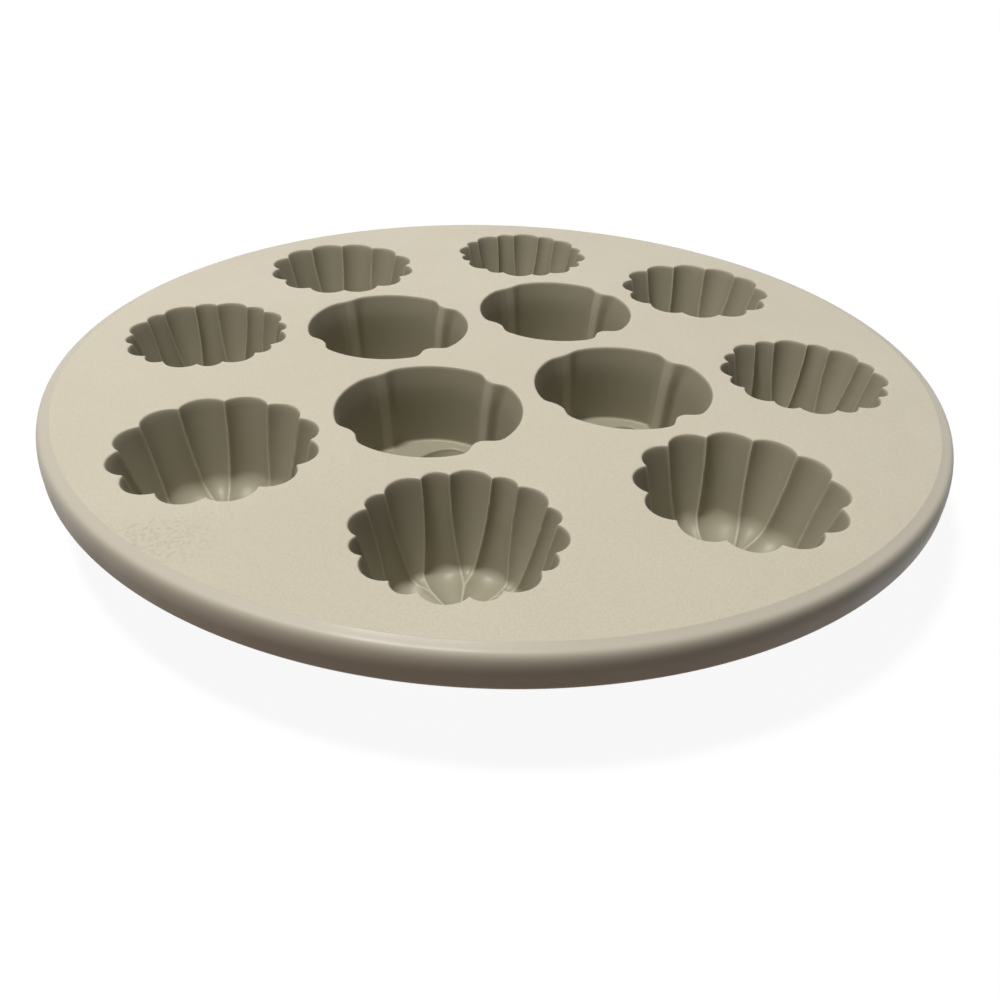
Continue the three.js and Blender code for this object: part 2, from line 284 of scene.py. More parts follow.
class Tree:
    """A Geometry Nodes tree with named inputs, made node by node."""

    def __init__(self, name):
        self.group = bpy.data.node_groups.new(name, "GeometryNodeTree")
        self.values = {}
        self.group.interface.new_socket("Geometry", in_out="OUTPUT", socket_type="NodeSocketGeometry")
        self.entry = self.group.nodes.new("NodeGroupInput")

    def input(self, name, kind, value=None):
        socket = self.group.interface.new_socket(name, in_out="INPUT", socket_type="NodeSocket" + kind)
        if value is not None:
            self.values[socket.identifier] = value
        return self.entry.outputs[socket.identifier]

    def size(self, name, value):
        return Formula(self.group, self.input(name, "Float", value))

    def node(self, kind, settings=None, **inputs):
        node = self.group.nodes.new(kind)
        for key, value in (settings or {}).items():
            setattr(node, key, value)
        for key, value in inputs.items():
            slot = next(s for s in node.inputs if s.name.replace(" ", "_") == key and s.enabled)
            if isinstance(value, Formula):
                value = value.socket
            if isinstance(value, bpy.types.NodeSocket):
                self.group.links.new(value, slot)
            else:
                slot.default_value = value
        return node

    def attribute(self, name):
        node = self.node("GeometryNodeInputNamedAttribute", {"data_type": "FLOAT"}, Name=name)
        return Formula(self.group, node.outputs["Attribute"])

    def vector(self, x, y, z):
        return self.node("ShaderNodeCombineXYZ", X=x, Y=y, Z=z).outputs[0]

    def joined(self, *geometries):
        node = self.group.nodes.new("GeometryNodeJoinGeometry")
        for geometry in geometries:
            self.group.links.new(geometry, node.inputs[0])
        return node.outputs[0]

    def finish(self, geometry, material):
        """Ends the tree in Realize Instances and Set Material."""
        real = self.node("GeometryNodeRealizeInstances", Geometry=geometry)
        chosen = self.input("Material", "Material", material)
        painted = self.node("GeometryNodeSetMaterial", Geometry=real.outputs[0], Material=chosen)
        leave = self.group.nodes.new("NodeGroupOutput")
        self.group.links.new(painted.outputs[0], leave.inputs[0])

    def run(self, name, mesh=None):
        """A new object with the tree's result as its plain mesh."""
        start = bpy.data.objects.new(name, mesh or bpy.data.meshes.new(name))
        bpy.context.scene.collection.objects.link(start)
        modifier = start.modifiers.new("Shape", "NODES")
        modifier.node_group = self.group
        for identifier, value in self.values.items():
            modifier[identifier] = value
        made = start.evaluated_get(bpy.context.evaluated_depsgraph_get())
        result = bpy.data.meshes.new_from_object(made)
        start.modifiers.clear()
        start.data = result
        result.name = name
        result.set_sharp_from_angle(angle=SHARP_EDGE)
        return start


# Materials

# Attributes of the cups: 1 inside a cup, and 1 on the top of a ridge
INSIDE = "inside"
RIDGE = "ridge"
# Where the painted highlight starts on a ridge and where it is brightest, and how much of a ridge a rib
# counts as
HIGHLIGHT_FROM, HIGHLIGHT_TO = 0.76, 0.96
RIB_HIGHLIGHT = 0.92
# Lengths over which the tone changes: at the rim's crease, for the painted shade that starts under a lip, and
# for the painted shade that starts below the rim's top
CREASE_WIDTH = 0.0004
SHADE_DEPTH = 0.0015
RIM_SHADE_FROM = 0.002
# Noises, each as its scale and detail, then the range of it that counts
CLOUDS, CLOUDS_RANGE = (14.0, 3.0), (0.35, 0.65)
SPECKLES, SPECKLES_RANGE = (2400.0, 2.0), (0.40, 0.75)
MARKS, MARKS_RANGE = (620.0, 4.0), (0.45, 0.70)
SHEEN, SHEEN_RANGE = (60.0, 4.0), (0.3, 0.7)
GRAIN = (1600.0, 2.0)
ROUGHNESS_SPREAD = 0.06
BUMP_STRENGTH, BUMP_HEIGHT = 0.12, 0.0002
# Handling marks on the deck's front left: middle, how narrow they are each way, how strong, where they fade
SMUDGE_PLACE = (-0.086, -0.142, DECK_TOP)
SMUDGE_SQUEEZE = (45.0, 70.0, 40.0)
SMUDGE_STRENGTH = 0.5
SMUDGE_FADE = (0.2, 1.0)


def math_node(tree, operation, *values):
    """Output of a math node on numbers and sockets."""
    node = tree.nodes.new("ShaderNodeMath")
    node.operation = operation
    for slot, value in zip(node.inputs, values):
        if isinstance(value, bpy.types.NodeSocket):
            tree.links.new(value, slot)
        else:
            slot.default_value = value
    return node.outputs[0]


def silicone_material(look):
    """Matte silicone with faint clouds, fine grain and handling marks; painted shade in the cups and at the
    rim's foot, painted highlights on ridges.
    """
    material = bpy.data.materials.get("beige_silicone")
    if material:
        return material
    material = bpy.data.materials.new("beige_silicone")
    material.use_nodes = True
    nodes = material.node_tree.nodes
    links = material.node_tree.links
    shader = nodes["Principled BSDF"]
    shader.inputs["Specular IOR Level"].default_value = look.specular
    place = nodes.new("ShaderNodeTexCoord")

    def noise(scale, detail):
        node = nodes.new("ShaderNodeTexNoise")
        node.inputs["Scale"].default_value = scale
        node.inputs["Detail"].default_value = detail
        links.new(place.outputs["Object"], node.inputs["Vector"])
        return node.outputs["Fac"]

    def spread(source, low, high, to_low, to_high):
        node = nodes.new("ShaderNodeMapRange")
        node.inputs["From Min"].default_value = low
        node.inputs["From Max"].default_value = high
        node.inputs["To Min"].default_value = to_low
        node.inputs["To Max"].default_value = to_high
        links.new(source, node.inputs["Value"])
        return node.outputs["Result"]

    def mixed(factor, first, second):
        node = nodes.new("ShaderNodeMix")
        node.data_type = "RGBA"
        links.new(factor, node.inputs["Factor"])
        for slot, value in ((node.inputs[6], first), (node.inputs[7], second)):
            if isinstance(value, bpy.types.NodeSocket):
                links.new(value, slot)
            else:
                slot.default_value = (*value, 1.0)
        return node.outputs[2]

    def distance(centre, squeeze):
        moved = nodes.new("ShaderNodeMapping")
        moved.vector_type = "POINT"
        moved.inputs["Location"].default_value = [-c * s for c, s in zip(centre, squeeze)]
        moved.inputs["Scale"].default_value = squeeze
        links.new(place.outputs["Object"], moved.inputs["Vector"])
        node = nodes.new("ShaderNodeVectorMath")
        node.operation = "LENGTH"
        links.new(moved.outputs["Vector"], node.inputs[0])
        return node.outputs["Value"]

    def times(first, second):
        return math_node(material.node_tree, "MULTIPLY", first, second)

    height = nodes.new("ShaderNodeSeparateXYZ")
    links.new(place.outputs["Object"], height.inputs[0])
    from_middle = distance((0.0, 0.0, 0.0), (1.0, 1.0, 0.0))
    on_rim = spread(from_middle, DECK_RADIUS - CREASE_WIDTH, DECK_RADIUS, 0.0, 1.0)
    on_deck = spread(on_rim, 0.0, 1.0, 1.0, 0.0)
    inside = nodes.new("ShaderNodeAttribute")
    inside.attribute_name = INSIDE
    ridge = nodes.new("ShaderNodeAttribute")
    ridge.attribute_name = RIDGE
    # Painted shade: inside each cup the colour turns to the darker painted shade, starting just under the lip
    down = spread(height.outputs["Z"], DECK_TOP - SHADE_DEPTH, DECK_TOP, 1.0, 0.0)
    # Painted highlight: ridge tops get less of the painted shade, so they stand out lighter
    shade_off_ridges = spread(ridge.outputs["Fac"], HIGHLIGHT_FROM, HIGHLIGHT_TO, 1.0, 1.0 - look.ridge_highlight)
    cup_shade_share = times(times(inside.outputs["Fac"], down), shade_off_ridges)
    clouds = spread(noise(*CLOUDS), *CLOUDS_RANGE, 0.0, 1.0)
    base = mixed(clouds, look.beige, look.pale)
    # Painted shade and painted warm reflection: the rim turns darker and browner from under its top down to
    # its foot
    foot = spread(height.outputs["Z"], RIM_LOW.z, DECK_TOP - RIM_SHADE_FROM, 1.0, 0.0)
    base = mixed(on_rim, base, mixed(foot, look.rim, look.rim_foot_shade_and_reflection))
    base = mixed(cup_shade_share, base, look.painted_cup_shade)
    speckle = times(on_deck, spread(noise(*SPECKLES), *SPECKLES_RANGE, 0.0, look.grain))
    worn = spread(distance(SMUDGE_PLACE, SMUDGE_SQUEEZE), *SMUDGE_FADE, 1.0, 0.0)
    mark = times(times(on_deck, worn), spread(noise(*MARKS), *MARKS_RANGE, 0.0, SMUDGE_STRENGTH))
    base = mixed(speckle, base, look.smudge)
    base = mixed(mark, base, look.smudge)
    links.new(base, shader.inputs["Base Color"])
    low, high = look.roughness - ROUGHNESS_SPREAD, look.roughness + ROUGHNESS_SPREAD
    links.new(spread(noise(*SHEEN), *SHEEN_RANGE, low, high), shader.inputs["Roughness"])
    bump = nodes.new("ShaderNodeBump")
    bump.inputs["Strength"].default_value = BUMP_STRENGTH
    bump.inputs["Distance"].default_value = BUMP_HEIGHT
    links.new(times(on_deck, noise(*GRAIN)), bump.inputs["Height"])
    links.new(bump.outputs["Normal"], shader.inputs["Normal"])
    return material


# Cup sections: each station is one ring of the shell, from the deck round the inside and back up outside

# Rings along each part of a section, and the places of those that cross a floor
LIP_STEPS = 7
WALL_STEPS = 20
FLARED_WALL_STEPS = 30
TURN_STEPS = 24
FLOOR_STEPS = 10
LEDGE_STEPS = 5
FILLET_STEPS = 6
UNDER_STEPS = 12
UNDER_FILLET_STEPS = 5
RECESS_RINGS = (0.75, 0.5, 0.25)
UNDER_FLOOR_RINGS = (0.3, 0.65, 1.0)
UNDER_RECESS_RINGS = (0.4, 0.8, 1.0)
# How far past its ridges the arc of a closing lobe is followed
LOBE_REACH = 1.2
# Where each petal of the recess is widest: the lower, the nearer to its first notch
PETAL_LEAN = 0.5


class Section:
    """Stations of a cup's closed shell, with what each ring's place is worked out from."""

    KEYS = ("scale", "out", "drop", "relief", "closing", "round_share", "round_radius", "way")

    def __init__(self, depth, path=None, flare=None):
        self.depth = depth
        self.flare = flare or depth
        self.path = path or ((0.0, depth), (0.0, 1.0))
        self.stations = []

    def add(self, scale=1.0, out=0.0, drop=0.0, relief=0.0, round_share=0.0, round_radius=0.0, closing=None):
        if closing is None:
            closing = np.interp(drop, *self.path)
        way = min(drop / self.flare, 1.0)
        self.stations.append((scale, out, drop, relief, closing, round_share, round_radius, way))

    def values(self, key):
        return np.array([station[self.KEYS.index(key)] for station in self.stations])


def bezier(start, start_handle, end_handle, end, count):
    """Points of a cubic curve, its start left out."""
    t = np.linspace(0, 1, count + 1)[1:, None]
    a, b, c, d = (np.array(point) for point in (start, start_handle, end_handle, end))
    return (1 - t) ** 3 * a + 3 * (1 - t) ** 2 * t * b + 3 * (1 - t) * t**2 * c + t**3 * d


def add_lip(section, sizes, lean):
    """Flat collar and the rounded lip, which ends along a wall that leans in by the angle lean."""
    radius = sizes.lip_radius
    section.add(round_share=1.0, round_radius=sizes.collar_radius)
    section.add(out=radius, round_share=0.5, round_radius=sizes.collar_radius)
    for turn in np.linspace(0, math.pi / 2 - lean, LIP_STEPS):
        section.add(out=radius * (1 - math.sin(turn)), drop=radius * (1 - math.cos(turn)), closing=0.0)


def add_outside(section, sizes, knee_scale, knee_drop):
    """Outer wall from its knee up to the underside of the deck, where it ends in a flat collar."""
    top = DECK_THICKNESS
    for t in np.linspace(0, 1, UNDER_STEPS):
        drop = knee_drop + (top + sizes.under_fillet - knee_drop) * t
        section.add(1 + (knee_scale - 1) * drop / knee_drop, sizes.wall_thickness, drop)
    scale = 1 + (knee_scale - 1) * top / knee_drop
    for turn in np.linspace(0, math.pi / 2, UNDER_FILLET_STEPS)[1:]:
        out = sizes.wall_thickness + sizes.under_fillet * (1 - math.cos(turn))
        section.add(scale, out, top + sizes.under_fillet * (1 - math.sin(turn)))
    section.add(round_share=1.0, drop=top, round_radius=sizes.collar_radius)


def way_down(profile):
    """Depths of a wall's points and their shares of the way along it."""
    points = np.array(profile)
    way = np.concatenate([[0.0], np.cumsum(np.linalg.norm(np.diff(points, axis=0), axis=1))])
    return points[:, 1], way / way[-1]


def curved_section(sizes, cup):
    """Section of a fluted or petal cup: a leaning wall that curves into a ridged floor."""
    lip, knee, seat = cup.notch_radius, cup.knee_radius, cup.seat_radius
    knee_drop = sizes.cup_depth - cup.curve_height
    lean = math.atan2(lip - knee, knee_drop)
    reach = cup.curve_height * cup.curve_fullness
    handle = (knee - reach * math.sin(lean), knee_drop + reach * math.cos(lean))
    inward = (knee - seat) * cup.curve_fullness
    end = (seat, sizes.cup_depth)
    turn_in = bezier((knee, knee_drop), handle, (seat + inward, sizes.cup_depth), end, TURN_STEPS)
    section = Section(sizes.cup_depth, way_down([(lip, 0.0), (knee, knee_drop), *turn_in]))
    add_lip(section, sizes, lean)
    first = sizes.lip_radius * (1 - math.sin(lean))
    for drop in np.linspace(first, knee_drop, WALL_STEPS)[1:]:
        section.add(1 + (knee / lip - 1) * drop / knee_drop, drop=drop)
    for number, (radius, drop) in enumerate(turn_in):
        rise = math.sin(math.pi / 2 * (number + 1) / len(turn_in)) ** 2
        section.add(radius / lip, drop=drop, relief=sizes.floor_ridge_height * rise)
    for part in np.linspace(1, 0, FLOOR_STEPS + 1)[1:-1]:
        section.add(seat / lip * part, drop=sizes.cup_depth, relief=sizes.floor_ridge_height * part)
    section.pole = len(section.stations)
    bottom = sizes.cup_depth + sizes.floor_thickness
    for part in UNDER_FLOOR_RINGS:
        section.add(seat / lip * part, drop=bottom)
    foot = sizes.foot_width
    section.add(seat / lip, foot, bottom)
    side = (knee + sizes.wall_thickness, knee_drop)
    outer_handle = (side[0] - reach * math.sin(lean), side[1] + reach * math.cos(lean))
    start = seat + foot
    turn_out = bezier((start, bottom), (start + inward, bottom), outer_handle, side, UNDER_STEPS)
    for radius, drop in turn_out[:-1]:
        blend = (radius - start) / (side[0] - start)
        out = foot + (sizes.wall_thickness - foot) * blend
        section.add((radius - out) / lip, out, drop)
    add_outside(section, sizes, knee / lip, knee_drop)
    return section


def ledge_section(sizes, lobed):
    """Section of a lobed cup: a steep wall that flares near the lip, a flat ledge and a recess inside it."""
    section = Section(sizes.cup_depth, flare=lobed.flare_depth)
    ledge, turn_in, edge = lobed.ledge_depth, lobed.ledge_fillet, lobed.recess_fillet
    quarter = np.linspace(0, math.pi / 2, FILLET_STEPS)
    lean = math.atan2(lobed.crest_radius * (1 - lobed.flare_scale), lobed.flare_depth)
    add_lip(section, sizes, lean)
    first = (sizes.lip_radius * (1 - math.sin(lean)), 1.0)
    flare = (lobed.flare_depth, lobed.flare_scale)
    wall = bezier(first, flare, flare, (ledge - turn_in, lobed.ledge_scale), FLARED_WALL_STEPS)
    for drop, scale in wall:
        section.add(scale, drop=drop, closing=0.0)
    for turn in quarter[1:]:
        drop = ledge - turn_in * (1 - math.sin(turn))
        section.add(lobed.ledge_scale, turn_in * (math.cos(turn) - 1), drop, closing=0.0)
    for part in np.linspace(0, 1, LEDGE_STEPS + 1)[1:]:
        scale = lobed.ledge_scale + (1 - lobed.ledge_scale) * part
        section.add(scale, edge * part - turn_in * (1 - part), ledge, closing=part)
    for turn in quarter[1:]:
        section.add(1.0, edge * (1 - math.sin(turn)), ledge + edge * (1 - math.cos(turn)), closing=1.0)
    low = lobed.recess_taper
    for turn in quarter:
        drop = sizes.cup_depth - edge * (1 - math.sin(turn))
        section.add(low, edge * (math.cos(turn) - 1), drop, closing=1.0)
    for part in RECESS_RINGS:
        section.add(low * part, -edge * part, sizes.cup_depth, closing=1.0)
    section.pole = len(section.stations)
    bottom = sizes.cup_depth + sizes.floor_thickness
    foot = sizes.foot_width
    for part in UNDER_RECESS_RINGS:
        section.add(low * part, (foot - edge) * part, bottom, closing=1.0)
    for turn in quarter[1:]:
        drop = bottom - edge * (1 - math.cos(turn))
        section.add(low, foot - edge * (1 - math.sin(turn)), drop, closing=1.0)
    under = ledge + sizes.wall_thickness
    for turn in quarter:
        drop = under + edge * (1 - math.sin(turn))
        section.add(1.0, foot + edge * (1 - math.cos(turn)), drop, closing=1.0)
    out = sizes.wall_thickness
    for turn in quarter:
        drop = under - out * (1 - math.cos(turn))
        section.add(lobed.ledge_scale, out * math.sin(turn), drop, closing=0.0)
    fillet = sizes.under_fillet
    highest = DECK_THICKNESS + fillet
    outside = [station for station in wall[::-1] if station[0] > highest]
    for drop, scale in outside:
        section.add(scale, out, drop, closing=0.0)
    for turn in quarter:
        drop = highest - fillet * math.sin(turn)
        section.add(outside[-1][1], out + fillet * (1 - math.cos(turn)), drop, closing=0.0)
    section.add(round_share=1.0, drop=DECK_THICKNESS, round_radius=sizes.collar_radius)
    return section


def shell_grid(name, section, steps):
    """Closed shell on the unit circle, with each station's values as attributes. Nodes give it its shape."""
    count = len(section.stations)
    turns = np.arange(steps) * math.tau / steps
    ring = np.stack([np.cos(turns), np.sin(turns), np.zeros(steps)], 1)
    top_pole = count * steps
    bottom_pole = top_pole + 1
    points = np.concatenate([np.tile(ring, (count, 1)), [[1, 0, 0], [1, 0, 0]]])
    faces = []
    here = np.arange(steps)
    ahead = (here + 1) % steps
    for station in range(count):
        below = (station + 1) % count
        if station + 1 == section.pole:
            faces += [(station * steps + a, station * steps + b, top_pole) for a, b in zip(here, ahead)]
            faces += [(bottom_pole, below * steps + b, below * steps + a) for a, b in zip(here, ahead)]
        else:
            faces += [
                (station * steps + a, station * steps + b, below * steps + b, below * steps + a)
                for a, b in zip(here, ahead)
            ]
    mesh = bpy.data.meshes.new(name)
    mesh.from_pydata(points.tolist(), [], [tuple(int(i) for i in face) for face in faces])
    bottom = section.values("drop").max()
    poles = {"round_share": (1.0, 1.0), "drop": (section.depth, bottom), "closing": (1.0, 1.0)}
    for key in Section.KEYS:
        values = np.concatenate([np.repeat(section.values(key), steps), poles.get(key, (0.0, 0.0))])
        mesh.attributes.new(key, "FLOAT", "POINT").data.foreach_set("value", values.astype(np.float32))
    inside = np.concatenate([np.repeat(np.arange(count) < section.pole, steps), (True, False)])
    mesh.attributes.new(INSIDE, "FLOAT", "POINT").data.foreach_set("value", inside.astype(np.float32))
    mesh.shade_smooth()
    return mesh


def lobe_radius(angle_from_middle, half_angle, notch, crest):
    """Formula for the radius of a round lobe: an arc from notch to notch over its crest."""
    chord_x = half_angle.made("COSINE") * notch
    chord_y = half_angle.made("SINE") * notch
    rise = crest - chord_x
    arc = (chord_y * chord_y + rise * rise) / (rise * 2.0)
    centre = crest - arc
    along = centre * angle_from_middle.made("COSINE")
    inside = along * along - centre * centre + arc * arc
    return along + inside.made("MAXIMUM", 0.0).made("SQRT")


def paired_outline(tree, turn, closing, sizes, cup):
    """Radius of two lobes in turn, of which one closes towards the floor, and how much of a ridge it is."""
    pairs = tree.size("Pairs", float(cup.pairs))
    notch = tree.size("Notch radius", cup.notch_radius)
    crest = tree.size("Crest radius", cup.crest_radius)
    next_crest = tree.size("Next crest", cup.next_crest_radius)
    widest = tree.size("Half angle", cup.half_angle)
    tip = tree.size("Tip half angle", cup.tip_half_angle)
    power = tree.size("Closing", sizes.closing_power)
    soft = tree.size("Ridge softness", sizes.ridge_softness)
    half_pitch = pairs ** -1.0 * math.pi
    half = widest.mixed(tip, closing ** power)
    from_middle = turn.made("PINGPONG", half_pitch)
    low_crest = notch + (crest - notch) * half / widest
    own = lobe_radius(from_middle.made("MINIMUM", half * LOBE_REACH), half, notch, low_crest)
    beside = lobe_radius(half_pitch - from_middle, half_pitch - half, notch, next_crest)
    radius = own.made("SMOOTH_MAX", beside, soft)
    return radius, (next_crest - radius) / (next_crest - notch)


def lobed_outline(tree, turn, closing, sizes, cup):
    """Radius of a round lip with four notches, which closes to a recess of four petals, and its ribs."""
    crest = tree.size("Crest radius", cup.crest_radius)
    way = tree.attribute("way")
    width = tree.size("Notch half angle", cup.notch_half_angle)
    width = width.mixed(tree.size("Rib half angle", cup.rib_half_angle), way)
    clear = tree.size("Notch power", cup.notch_power)
    clear = clear.mixed(tree.size("Rib power", cup.rib_power), way)
    power = tree.size("Petal power", cup.petal_power)
    end = tree.size("Recess end", cup.recess_end_radius)
    reach = tree.size("Recess crest", cup.recess_crest_radius) - end
    bearings = [tree.size(f"Notch bearing {n + 1}", bearing) for n, bearing in enumerate(cup.notch_angles)]
    lip = crest
    recess = end
    rib = crest * 0.0
    for number, notch in enumerate(cup.notch_radii):
        depth = crest - tree.size(f"Notch radius {number + 1}", notch)
        past = turn - bearings[number]
        near = past.made("WRAP", math.pi, -math.pi).made("ABSOLUTE") / width
        here = (near**clear * -1.0).made("EXPONENT")
        lip = lip - depth * here
        rib = rib + here
        span = (bearings[(number + 1) % len(bearings)] - bearings[number]).made("WRAP", math.tau, 0.0)
        share_past = (past.made("WRAP", math.tau, 0.0) / span).made("MINIMUM", 1.0)
        petal = (share_past**PETAL_LEAN * math.pi).made("SINE").made("MAXIMUM", 0.0)
        recess = recess + reach * petal**power
    return lip.mixed(recess, closing), rib.mixed(crest * 0.0, closing) * RIB_HIGHLIGHT


def cup_tree(name, outline, sizes, cup, centre, material):
    """Tree that gives a shell grid its flower shape and puts it in its place on the pan."""
    tree = Tree(name)
    shell = tree.input("Shell", "Geometry")
    place = tree.node("ShaderNodeSeparateXYZ", Vector=tree.node("GeometryNodeInputPosition").outputs[0])
    x = Formula(tree.group, place.outputs["X"])
    y = Formula(tree.group, place.outputs["Y"])
    turn = y.made("ARCTAN2", x)
    radius, ridge = outline(tree, turn, tree.attribute("closing"), sizes, cup)
    reach = (radius * tree.attribute("scale") + tree.attribute("out")).mixed(
        tree.attribute("round_radius"), tree.attribute("round_share")
    )
    height = tree.attribute("relief") * ridge.made("MAXIMUM", 0.0) - tree.attribute("drop")
    spot = tree.vector(x * reach, y * reach, height)
    marked = tree.node("GeometryNodeStoreNamedAttribute", Geometry=shell, Name=RIDGE, Value=ridge)
    shaped = tree.node("GeometryNodeSetPosition", Geometry=marked.outputs[0], Position=spot)
    moved = tree.node(
        "GeometryNodeTransform",
        Geometry=shaped.outputs[0],
        Translation=tree.input("Centre", "Vector", centre),
    )
    merged = tree.node("GeometryNodeMergeByDistance", Geometry=moved.outputs[0], Distance=MERGE_DISTANCE)
    tree.finish(merged.outputs[0], material)
    return tree


def build_cups(context, kind, section, outline, cup):
    """The four cups of a kind. Each stands for its wall and floor."""
    sizes = context.scene.pan_sizes
    material = silicone_material(context.scene.pan_silicone)
    for number in range(CUPS_OF_A_KIND):
        name = cup_name(kind, number)
        centre = cup_centre(kind, number)
        spot = (centre.x, centre.y, DECK_TOP)
        tree = cup_tree(f"{name} shape", outline, sizes, cup, spot, material)
        grid = shell_grid(name, section, sizes.steps_round_cup)
        piece = tree.run(name + "_shell", grid)
        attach(piece, PAN_BODY)
        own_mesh(piece)
        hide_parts(name + "_wall", name + "_floor")


class PAN_OT_deck(bpy.types.Operator):
    """Flat deck with a round place for each cup"""

    bl_idname = "pan.deck"
    bl_label = "Deck"

    def execute(self, context):
        sizes = context.scene.pan_sizes
        tree = Tree("Deck shape")
        edge = tree.node(
            "GeometryNodeCurvePrimitiveCircle",
            Resolution=tree.input("Steps round edge", "Int", sizes.steps_round_rim),
            Radius=tree.size("Deck radius", DECK_RADIUS),
        )
        mouth = tree.node(
            "GeometryNodeCurvePrimitiveCircle",
            Resolution=tree.input("Steps round mouth", "Int", sizes.steps_round_cup),
            Radius=tree.size("Collar radius", sizes.collar_radius),
        )
        curves = [edge.outputs["Curve"]]
        for kind in ("fluted", "petal", "lobed"):
            first = cup_centre(kind, 0)
            ring = tree.node(
                "GeometryNodeMeshCircle",
                Vertices=tree.input(f"{kind.title()} cups", "Int", CUPS_OF_A_KIND),
                Radius=tree.size(f"{kind.title()} ring radius", first.length),
            )
            bearing = tree.size(f"{kind.title()} bearing", math.atan2(first.y, first.x))
            turned = tree.node(
                "GeometryNodeTransform", Geometry=ring.outputs[0], Rotation=tree.vector(0.0, 0.0, bearing)
            )
            copies = tree.node(
                "GeometryNodeInstanceOnPoints", Points=turned.outputs[0], Instance=mouth.outputs["Curve"]
            )
            curves.append(tree.node("GeometryNodeRealizeInstances", Geometry=copies.outputs[0]).outputs[0])
        filled = tree.node("GeometryNodeFillCurve", Curve=tree.joined(*curves))
        thickness = tree.size("Thickness", DECK_THICKNESS)
        raised = tree.node(
            "GeometryNodeExtrudeMesh", Mesh=filled.outputs[0], Offset_Scale=thickness, Individual=False
        )
        under = tree.node("GeometryNodeFlipFaces", Mesh=filled.outputs[0])
        both = tree.joined(raised.outputs[0], under.outputs[0])
        closed = tree.node("GeometryNodeMergeByDistance", Geometry=both, Distance=MERGE_DISTANCE)
        lifted = tree.node(
            "GeometryNodeTransform",
            Geometry=closed.outputs[0],
            Translation=tree.vector(0.0, 0.0, tree.size("Underside", DECK_LOW.z)),
        )
        tree.finish(lifted.outputs[0], silicone_material(context.scene.pan_silicone))
        piece = tree.run("deck_sheet")
        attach(piece, PAN_BODY)
        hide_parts("deck")
        return {"FINISHED"}


RIM_TOP_STEPS = 40
RIM_FOOT_STEPS = 10
# Brings the rim's first steps, on its flat top, closer together
RIM_STEP_POWER = 3


def rim_section(sizes):
    """Closed outline of the rim: how far out from the deck's edge and how far down from its top."""
    width = PAN_RADIUS - DECK_RADIUS
    inside = width - sizes.rim_width
    foot = sizes.rim_foot_radius
    points = []
    for turn in math.pi / 2 * (1 - np.linspace(0, 1, RIM_TOP_STEPS) ** RIM_STEP_POWER):
        out = width * math.cos(turn) ** (2 / sizes.rim_top_power)
        down = sizes.rim_top_depth * (1 - math.sin(turn) ** (2 / sizes.rim_side_power))
        points.append((out, down + sizes.rim_fall * math.sin(math.pi * out / width)))
    for turn in np.linspace(0, math.pi / 2, RIM_FOOT_STEPS):
        points.append((width - foot * (1 - math.cos(turn)), RIM_HEIGHT - foot * (1 - math.sin(turn))))
    for turn in np.linspace(0, math.pi / 2, RIM_FOOT_STEPS):
        points.append((inside + foot * (1 - math.sin(turn)), RIM_HEIGHT - foot * (1 - math.cos(turn))))
    points.append((inside, DECK_THICKNESS))
    points.append((0.0, DECK_THICKNESS))
    return points


class PAN_OT_rim(bpy.types.Operator):
    """Thick rounded rim, swept round the deck"""

    bl_idname = "pan.rim"
    bl_label = "Rim"

    def execute(self, context):
        sizes = context.scene.pan_sizes
        points = rim_section(sizes)
        outline = bpy.data.meshes.new("rim_section")
        edges = [(i, (i + 1) % len(points)) for i in range(len(points))]
        outline.from_pydata([(out, down, 0.0) for out, down in points], edges, [])
        tree = Tree("Rim shape")
        section = tree.node("GeometryNodeMeshToCurve", Mesh=tree.input("Section", "Geometry"))
        path = tree.node(
            "GeometryNodeCurvePrimitiveCircle",
            Resolution=tree.input("Steps round", "Int", sizes.steps_round_rim),
            Radius=tree.size("Deck radius", DECK_RADIUS),
        )
        swept = tree.node(
            "GeometryNodeCurveToMesh", Curve=path.outputs["Curve"], Profile_Curve=section.outputs[0]
        )
        lifted = tree.node(
            "GeometryNodeTransform",
            Geometry=swept.outputs[0],
            Translation=tree.vector(0.0, 0.0, tree.size("Deck top", DECK_TOP)),
        )
        tree.finish(lifted.outputs[0], silicone_material(context.scene.pan_silicone))
        piece = tree.run("rim_bead", outline)
        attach(piece, PAN_BODY)
        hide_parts("rim")
        return {"FINISHED"}


class PAN_OT_fluted_cups(bpy.types.Operator):
    """Four cups with round flutes"""

    bl_idname = "pan.fluted_cups"
    bl_label = "Fluted cups"

    def execute(self, context):
        cup = context.scene.fluted_cup
        section = curved_section(context.scene.pan_sizes, cup)
        build_cups(context, "fluted", section, paired_outline, cup)
        return {"FINISHED"}


class PAN_OT_petal_cups(bpy.types.Operator):
    """Four cups with wide and narrow petals"""

    bl_idname = "pan.petal_cups"
    bl_label = "Petal cups"

    def execute(self, context):
        cup = context.scene.petal_cup
        section = curved_section(context.scene.pan_sizes, cup)
        build_cups(context, "petal", section, paired_outline, cup)
        return {"FINISHED"}


class PAN_OT_lobed_cups(bpy.types.Operator):
    """Four cups with broad lobes, a ledge and a recess"""

    bl_idname = "pan.lobed_cups"
    bl_label = "Lobed cups"

    def execute(self, context):
        cup = context.scene.lobed_cup
        section = ledge_section(context.scene.pan_sizes, cup)
        build_cups(context, "lobed", section, lobed_outline, cup)
        return {"FINISHED"}


# The photo's camera stands 370 mm from the middle of the deck, at 25 degrees over it
CAMERA_BEARING = math.radians(-85.19)
CAMERA_DISTANCE = 0.3697
CAMERA_HEIGHT_ANGLE = math.radians(24.99)
CAMERA_PITCH = math.radians(-34.60)
CAMERA_YAW = math.radians(0.437)
CAMERA_ROLL = math.radians(2.116)
SENSOR_WIDTH = 36.0
CLIP_START = 0.01

